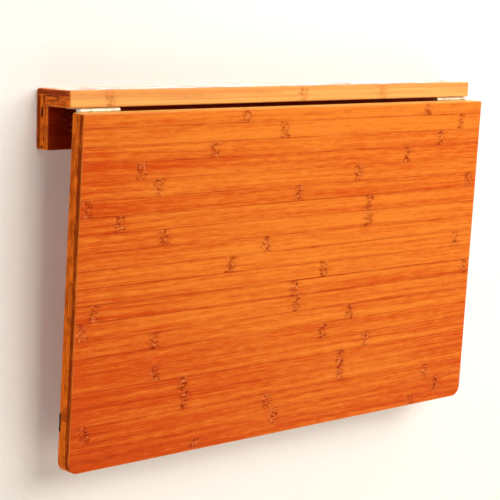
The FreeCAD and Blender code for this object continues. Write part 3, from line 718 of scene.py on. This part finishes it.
def choose(tree, index, values):
    """Value picked by an index from a list of constants or outputs."""
    switch = add(tree, "GeometryNodeIndexSwitch", data_type="FLOAT")
    while len(switch.index_switch_items) < len(values):
        switch.index_switch_items.new()
    plug(tree, switch, {"Index": index, **dict(enumerate(values, start=1))})
    return switch


def turned(tree, radii, heights):
    """Closed solid turned about Z, from the radius and height of each corner of its outline."""
    sheet = add(tree, "GeometryNodeMeshGrid", {"Vertices X": len(radii), "Vertices Y": ROWS})
    index = add(tree, "GeometryNodeInputIndex")
    column = maths(tree, "FLOOR", over(tree, plus(tree, index, 0.5), ROWS))
    row = minus(tree, index, times(tree, column, ROWS))
    angle = times(tree, row, 2 * math.pi / SIDES)
    radius = choose(tree, column, radii)
    place = joined(tree, times(tree, radius, maths(tree, "COSINE", angle)),
                   times(tree, radius, maths(tree, "SINE", angle)), choose(tree, column, heights))
    wrapped = add(tree, "GeometryNodeSetPosition", {"Geometry": sheet, "Position": place})
    return add(tree, "GeometryNodeMergeByDistance", {"Geometry": wrapped, "Distance": 0.000002})


# %% Screws, part 1: the cross and the thread
def cross_cutter(tree, given):
    """Two crossed bars, standing half their height out of the head. One is a little deeper, because
    two faces in one plane would spoil the cut."""
    bars = []
    for turn, deep in ((0.0, 2.0), (math.pi / 2, 2.2)):
        size = joined(tree, given["Cross Length"], given["Cross Width"],
                      times(tree, given["Cross Depth"], deep))
        bar = add(tree, "GeometryNodeMeshCube", {"Size": size})
        bars.append(add(tree, "GeometryNodeTransform", {"Geometry": bar, "Rotation": (0, 0, turn)}))
    return bars


def thread(tree, given, core, top, bottom):
    """Triangle swept down a spiral, from top to bottom, that reaches out to the shank's radius."""
    run = minus(tree, top, bottom)
    turns = over(tree, run, given["Pitch"])
    spiral = add(tree, "GeometryNodeCurveSpiral", {
        "Resolution": 14, "Rotations": turns, "Start Radius": core, "End Radius": core,
        "Height": run})
    spiral = add(tree, "GeometryNodeTransform", {
        "Geometry": spiral, "Translation": joined(tree, z=bottom)})
    tooth = add(tree, "GeometryNodeCurvePrimitiveCircle", {
        "Resolution": 3, "Radius": minus(tree, given["Shank Radius"], core)})
    return add(tree, "GeometryNodeCurveToMesh", {0: spiral, 1: tooth, "Fill Caps": True})


# %% [markdown]
# ## Screws, part 2: a row of them
#
# The input geometry is only loose points, one where each screw's head goes. Instance on Points sets
# a screw on each, turned to face the way the screwdriver comes from, and a seeded random spin
# leaves every cross at its own angle, as a real screwdriver does. Realize Instances and Set
# Material end the tree, and the result is then kept as a plain mesh.

# %% Screws, part 2: the tree
SCREW_SIZES = ("Crown Radius", "Crown Height", "Rim Radius", "Neck Radius", "Head Height",
               "Shank Radius", "Length", "Point", "Pitch", "Cross Length", "Cross Width",
               "Cross Depth")
CRISP = math.radians(28)  # edges sharper than this are shaded flat


def screw_row_tree():
    """Geometry Nodes tree: loose points to a screw at each."""
    tree = bpy.data.node_groups.new("screw row", "GeometryNodeTree")
    tree.is_modifier = True
    sockets(tree, "INPUT", {"Geometry": "Geometry", **dict.fromkeys(SCREW_SIZES, "Float"),
                            "Facing": "Vector", "Seed": "Int", "Material": "Material"})
    sockets(tree, "OUTPUT", {"Geometry": "Geometry"})
    given = add(tree, "NodeGroupInput").outputs
    core = times(tree, given["Shank Radius"], 0.72)
    crown, head, tip = [times(tree, given[name], -1.0)
                        for name in ("Crown Height", "Head Height", "Length")]
    thread_end = plus(tree, tip, given["Point"])
    body = turned(tree, (0.0, given["Crown Radius"], given["Rim Radius"], given["Neck Radius"],
                         core, core, 0.0), (0.0, 0.0, crown, head, head, thread_end, tip))
    cut = add(tree, "GeometryNodeMeshBoolean", {"Mesh 1": body}, operation="DIFFERENCE")
    for bar in cross_cutter(tree, given):
        plug(tree, cut, {"Mesh 2": bar})
    smooth = add(tree, "GeometryNodeSetShadeSmooth", {"Geometry": cut})
    bend = add(tree, "GeometryNodeInputMeshEdgeAngle")
    crisp = add(tree, "GeometryNodeSetShadeSmooth", {
        "Geometry": smooth, "Selection": maths(tree, "GREATER_THAN", bend, CRISP),
        "Shade Smooth": False}, domain="EDGE")
    screw = add(tree, "GeometryNodeJoinGeometry")
    for part in (crisp, thread(tree, given, core, head, thread_end)):
        plug(tree, screw, {0: part})

    facing = add(tree, "FunctionNodeAlignRotationToVector", {"Vector": given["Facing"]}, axis="Z")
    chance = add(tree, "FunctionNodeRandomValue", {"Seed": given["Seed"]}, data_type="FLOAT")
    spin = add(tree, "FunctionNodeAxisAngleToRotation", {
        "Axis": (0, 0, 1), "Angle": times(tree, chance.outputs[1], math.pi / 2)})
    rotation = add(tree, "FunctionNodeRotateRotation", {0: facing, 1: spin},
                   rotation_space="LOCAL")
    row = add(tree, "GeometryNodeInstanceOnPoints", {
        "Points": given["Geometry"], "Instance": screw, "Rotation": rotation})
    real = add(tree, "GeometryNodeRealizeInstances", {"Geometry": row})
    coat = {"Geometry": real, "Material": given["Material"]}
    add(tree, "NodeGroupOutput", {0: add(tree, "GeometryNodeSetMaterial", coat)})
    return tree


screw_rows = screw_row_tree()
print("screw tree has", len(screw_rows.nodes), "nodes and", len(SCREW_SIZES), "sizes")

# %% [markdown]
# ## Screws, part 3: sizes and places
#
# Three sizes are enough here: a short and a long countersunk wood screw, and a pan head. Each row
# names one of them, the points and the way that the heads face. The screws in the leaf are placed
# as it stands raised, where their places are round numbers, and then swing down with it.

# %% Screws, part 3: sizes and plain meshes
WOOD_SCREW = {   # mm
    "Crown Radius": 2.9, "Crown Height": 0.2, "Rim Radius": 3.1, "Neck Radius": 1.6,
    "Head Height": 1.5, "Shank Radius": 1.6, "Length": 13, "Point": 2.5, "Pitch": 1.5,
    "Cross Length": 3.4, "Cross Width": 0.75, "Cross Depth": 0.9}
LONG_SCREW = {**WOOD_SCREW, "Length": 20}
PAN_SCREW = {
    **WOOD_SCREW, "Crown Radius": 2.0, "Crown Height": 1.3, "Rim Radius": 4.0, "Neck Radius": 4.0,
    "Head Height": 2.6, "Shank Radius": 2.0, "Length": 23.6, "Cross Length": 3.8,
    "Cross Width": 0.9, "Cross Depth": 1.3}


def screw_row(name, points, facing, sizes, material, seed):
    """Plain mesh object with a screw at each point, in metres."""
    start = bpy.data.meshes.new(name)
    start.from_pydata([tuple(point) for point in points], [], [])
    row = bpy.data.objects.new(name, start)
    bpy.context.scene.collection.objects.link(row)
    modifier = row.modifiers.new("screws", "NODES")
    modifier.node_group = screw_rows
    values = {**{key: value * MM for key, value in sizes.items()}, "Facing": tuple(facing),
              "Seed": seed, "Material": material}
    for socket in screw_rows.interface.items_tree:
        if socket.in_out == "INPUT" and socket.name in values:
            modifier[socket.identifier] = values[socket.name]
    bpy.context.view_layer.update()
    evaluated = row.evaluated_get(bpy.context.evaluated_depsgraph_get())
    row.data = bpy.data.meshes.new_from_object(evaluated)
    row.modifiers.remove(modifier)
    row.data.name = name
    row.data.materials.pop(index=0)   # the empty slot that the primitives bring
    print(name, "-", len(points), "screws,", len(row.data.polygons), "faces")
    return row


# %% Screws, part 3: places in mm
HINGE_X, HINGE_Y = 265, -50.5
HINGE_SCREWS = ((-16, 11.5), (0, 14), (16, 11.5))   # along a plate, and out from the hinge line
PLATE_FACE = -1.2
CLEAT_X, CLEAT_SCREWS_Y, CLEAT_FACE = 138.7, (-176.93, -212.70), -10.5
FIRST_BAR_SCREW, BAR_STEP, BAR_Y = -260, 130, -350
BUFFER_X, BUFFER_FACE, BUFFER_Z = 217.5, -27.6, -322
SIGNS = (-1, 1)

ledge_points = [Vector((sign * HINGE_X + x, HINGE_Y + out, PLATE_FACE)) * MM
                for sign in SIGNS for x, out in HINGE_SCREWS]
leaf_points = [lower_with_leaf((sign * HINGE_X + x, HINGE_Y - out, PLATE_FACE))
               for sign in SIGNS for x, out in HINGE_SCREWS]
bar_points = [lower_with_leaf((FIRST_BAR_SCREW + BAR_STEP * number, BAR_Y, 0))
              for number in range(5)]
cleat_points = [lower_with_leaf((sign * CLEAT_X, y, CLEAT_FACE))
                for sign in SIGNS for y in CLEAT_SCREWS_Y]
buffer_points = [Vector((sign * BUFFER_X, BUFFER_FACE, BUFFER_Z)) * MM for sign in SIGNS]
print("the leaf carries", len(leaf_points + bar_points + cleat_points), "screws")

# %% Screws, part 3: the rows
UNDER_LEAF = lowered.to_3x3() @ DOWN
rows = (
    ("ledge_hinge_screw_row", ledge_points, DOWN, WOOD_SCREW, screw_nickel, "wall_frame",
     ("left_ledge_hinge_screws", "right_ledge_hinge_screws"), "hinge_screw_nickel"),
    ("leaf_hinge_screw_row", leaf_points, UNDER_LEAF, WOOD_SCREW, screw_nickel, "leaf",
     ("left_leaf_hinge_screws", "right_leaf_hinge_screws"), "hinge_screw_nickel"),
    ("bar_screw_row", bar_points, UNDER_LEAF, WOOD_SCREW, black_oxide, "leaf",
     ("stiffening_bar_screws",), "bar_screw_black"),
    ("cleat_screw_row", cleat_points, UNDER_LEAF, LONG_SCREW, zinc, "leaf",
     ("left_catch_cleat_screws", "right_catch_cleat_screws"), "cleat_screw_zinc"),
    ("buffer_screw_row", buffer_points, OUT, PAN_SCREW, zinc, "wall_frame",
     ("left_buffer_screw", "right_buffer_screw"), "buffer_screw_zinc"),
)
for seed, (name, points, facing, sizes, material, body, nodes, slot) in enumerate(rows, start=1):
    row = screw_row(name, points, facing, sizes, material, seed)
    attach(row, body)
    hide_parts(*nodes)

# %% [markdown]
# ## The wall and the floor
#
# The table only makes sense on a wall, so the backdrop is one, just behind the plane that the
# boards stand on. It takes the object's shadow. Seen from behind it would hide the mechanism, so
# its back is clear, and it lets lamp light through to whatever is on its other side. The floor is a
# plain pale plane below, made the same way, so that the table can be looked at from below too.

# %% Wall and floor
def plane(name, corners, material):
    """One four-sided face, which looks to the side that its corners run anticlockwise on."""
    mesh = bpy.data.meshes.new(name)
    mesh.from_pydata(corners, [], [(0, 1, 2, 3)])
    mesh.materials.append(material)
    made = bpy.data.objects.new(name, mesh)
    bpy.context.scene.collection.objects.link(made)
    print(name, "faces", mesh.polygons[0].normal[:])


def seen_by(tree, rays):
    """1 for a ray that the camera sends, straight or by way of a shiny or clear piece."""
    kinds = ("Camera", "Glossy", "Transmission")
    return most(tree, *[rays["Is " + kind + " Ray"] for kind in kinds])


def backdrop_paint(name, colour, shade, cell, lift):
    """Matt paint whose back is clear, and which casts no shadow of its own."""
    material, tree, shader, coordinates = new_material(name)
    mottle = grain(tree, coordinates["Object"], (1 / cell,) * 3, detail=3.0)
    plug(tree, shader, {"Base Color": mix(tree, spread(tree, mottle), colour, shade),
                        "Roughness": 0.9, "Specular IOR Level": 0.1})
    rays = add(tree, "ShaderNodeLightPath").outputs
    lifted = add(tree, "ShaderNodeEmission", {
        "Color": (1.0, 0.96, 0.92, 1.0), "Strength": times(tree, seen_by(tree, rays), lift)})
    lit = add(tree, "ShaderNodeAddShader", {0: shader, 1: lifted})
    clear = add(tree, "ShaderNodeBsdfTransparent")
    back = add(tree, "ShaderNodeNewGeometry").outputs["Backfacing"]
    see_through = most(tree, back, rays["Is Shadow Ray"])
    either = add(tree, "ShaderNodeMixShader", {0: see_through, 1: lit, 2: clear})
    output = next(node for node in tree.nodes if node.type == "OUTPUT_MATERIAL")
    plug(tree, output, {"Surface": either})
    return material


WALL_GAP = 0.0006         # metres behind the boards
FLOOR = -0.75
SIDE, TOP, FRONT, BACK = 4, 3, -5, 4   # how far wall and floor reach
wall_paint = backdrop_paint("wall paint", paint(233, 229, 222), paint(231, 226, 218),
                            cell=0.003, lift=0.135)
floor_paint = backdrop_paint("floor paint", paint(236, 231, 224), paint(230, 225, 218),
                             cell=0.08, lift=0.7)
plane("wall", [(-SIDE, WALL_GAP, FLOOR), (SIDE, WALL_GAP, FLOOR), (SIDE, WALL_GAP, TOP),
               (-SIDE, WALL_GAP, TOP)], wall_paint)
plane("floor", [(-SIDE, FRONT, FLOOR), (SIDE, FRONT, FLOOR), (SIDE, BACK, FLOOR),
                (-SIDE, BACK, FLOOR)], floor_paint)

# %% [markdown]
# ## Light
#
# Soft lamps light a small studio, and each has one job. Two on the right light the face, one near
# and one far, so that the shadow on the wall falls to the left with a soft edge. A warmer one at
# the front left fills that shadow. A narrow one beside the wall picks out the boards' left ends, a
# small one above lights the ledge's top, and one behind the wall plane is for the views of the
# mechanism.
#
# The "card" is a wide, low lamp that gives the lacquer of the ledge's top its pale sheen, seen at a
# flat angle. It works by direct light alone, so no ray runs into it and it is never seen itself.
# The world gives a little more light, evenly, and looks white to the camera and in shiny pieces.

# %% Lamps and world
def lamp(name, place, target, size, power, colour=(1, 1, 1), height=None):
    """Area lamp that points from place to target, square unless it has a height of its own."""
    data = bpy.data.lights.new(name, "AREA")
    data.shape = "RECTANGLE"
    data.size, data.size_y = size, height or size
    data.energy = power
    data.color = colour
    made = bpy.data.objects.new(name, data)
    made.location = place
    made.rotation_euler = (Vector(place) - Vector(target)).to_track_quat("Z", "Y").to_euler()
    bpy.context.scene.collection.objects.link(made)
    return made


WARM = (1.0, 0.94, 0.87)
lamp("near right", (1.2, -1.2, 0.7), (0, 0, -0.12), 0.9, 13.5)
lamp("front right", (0.9, -2.4, 1.1), (0, 0, -0.12), 1.6, 26)
lamp("front left", (-0.35, -2.6, 0.8), (0, 0, -0.12), 1.3, 26, WARM)
lamp("left edge", (-2.2, 0.03, 0.1), (0, 0, -0.12), 0.12, 9)
lamp("top", (0.1, -0.5, 1.1), (0, 0, -0.12), 0.6, 6)
card = lamp("card", (1.15, 1.12, 0.17), (0, 0, 0), 1.3, 6.5, height=0.3)
card.data.cycles.use_multiple_importance_sampling = False
lamp("behind", (-0.8, 2.0, 1.6), (0, 0, -0.15), 1.2, 12)

world = bpy.data.worlds.new("studio")
bpy.context.scene.world = world
world.use_nodes = True
sky = world.node_tree
sky.nodes.clear()
rays = add(sky, "ShaderNodeLightPath").outputs
background = add(sky, "ShaderNodeBackground", {
    "Color": (1.0, 0.985, 0.965, 1.0), "Strength": fade(sky, seen_by(sky, rays), 0.04, 0.95)})
add(sky, "ShaderNodeOutputWorld", {"Surface": background})
print("lamps:", ", ".join(light.name for light in bpy.data.lights))

# %% [markdown]
# ## Camera
#
# The camera stands to the left of the table and a little above it, with a long lens, as someone
# photographing a product would stand back and zoom in. Its place is given by the angle that it
# looks along, the point that it looks at and the distance, and a small roll.

# %% Camera
AZIMUTH = math.radians(-45.4557)
ELEVATION = math.radians(7.789)
ROLL = math.radians(1.6344)
AIM = Vector((-0.0035364, 0.0, -0.16257))
DISTANCE = 2.0331571
FOCAL_LENGTH = 135.72     # mm, on a sensor 36 mm wide


def camera_matrix():
    """Camera axes: right, up and back, with the roll turned in."""
    flat = math.cos(ELEVATION)
    back = Vector((math.sin(AZIMUTH) * flat, -math.cos(AZIMUTH) * flat, math.sin(ELEVATION)))
    right = Vector((0, 0, 1)).cross(back).normalized()
    up = back.cross(right)
    rolled_right = right * math.cos(ROLL) + up * math.sin(ROLL)
    rolled_up = up * math.cos(ROLL) - right * math.sin(ROLL)
    axes = Matrix((rolled_right, rolled_up, back)).transposed().to_4x4()
    return Matrix.Translation(AIM + back * DISTANCE) @ axes


camera_data = bpy.data.cameras.new("camera")
camera_data.sensor_width = 36.0
camera_data.lens = FOCAL_LENGTH
camera = bpy.data.objects.new("camera", camera_data)
camera.matrix_world = camera_matrix()
bpy.context.scene.collection.objects.link(camera)
bpy.context.scene.camera = camera
bpy.context.scene.view_settings.view_transform = "Standard"
print("camera stands at", [round(value, 3) for value in camera.location])
